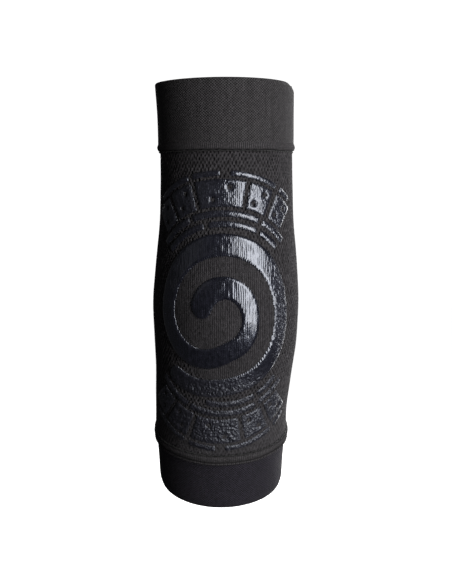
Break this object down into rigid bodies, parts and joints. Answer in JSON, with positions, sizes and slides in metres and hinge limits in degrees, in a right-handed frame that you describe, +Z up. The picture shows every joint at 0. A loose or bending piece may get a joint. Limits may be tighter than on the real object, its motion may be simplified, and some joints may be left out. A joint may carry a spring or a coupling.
{
  "type": "knitted elbow pad",
  "caption": "Compression elbow sleeve in circular knit, with turned cuffs, seam ridges and a raised spiral silicone guard over the point of the elbow.",
  "frame": {"origin": "on the upper cuff's axis, at the middle of its inner grip band, where the upper arm holds the sleeve", "axes": "+Z up the upper arm, -Y out of the point of the elbow, +Y the way the forearm swings as the elbow bends, +X completes the right hand"},
  "size_m": [0.0905, 0.1229, 0.2655],
  "materials": {
    "cuff_knit": "fine ribbed nylon knit, matt",
    "tube_knit": "tuck-stitch nylon and elastane knit, matt",
    "panel_knit": "plain ribbed knit, matt",
    "elastic": "covered elastic band, matt",
    "thread": "linking thread",
    "print_silicone": "glossy printed silicone",
    "grip_silicone": "satin silicone, tacky"
  },
  "bodies": {
    "upper_arm": {"upper_cuff_welt": "cuff_knit", "upper_cuff_elastic": "elastic", "upper_grip_band": "grip_silicone", "upper_seam_ridge": "cuff_knit", "upper_linking_thread": "thread", "upper_arm_knit": "tube_knit", "elbow_knit": "tube_knit", "upper_outer_arcs": "print_silicone", "upper_blocks": "print_silicone", "upper_middle_arcs": "print_silicone", "upper_inner_arcs": "print_silicone"},
    "elbow_cap": {"elbow_panel": "panel_knit", "spiral_guard": "print_silicone"},
    "forearm": {"forearm_knit": "tube_knit", "lower_inner_arcs": "print_silicone", "lower_middle_arcs": "print_silicone", "lower_blocks": "print_silicone", "lower_outer_arcs": "print_silicone", "lower_linking_thread": "thread", "lower_seam_ridge": "cuff_knit", "lower_cuff_welt": "cuff_knit", "lower_cuff_elastic": "elastic", "lower_grip_band": "grip_silicone"}
  },
  "joints": [
    {"name": "elbow_flexion", "type": "hinge", "parent": "upper_arm", "child": "forearm", "pos_m": [0, 0, -0.119], "axis": [1, 0, 0], "range_deg": [-20, 95], "stiffness_Nm_per_rad": 0.3, "deforming": ["elbow_knit"]},
    {"name": "elbow_cap_turn", "type": "hinge", "parent": "upper_arm", "child": "elbow_cap", "pos_m": [0, 0, -0.119], "axis": [1, 0, 0], "range_deg": [-10, 48], "deforming": ["spiral_guard"]}
  ],
  "couplings": [
    {"joint": "elbow_cap_turn", "follows": "elbow_flexion", "ratio": 0.5}
  ]
}
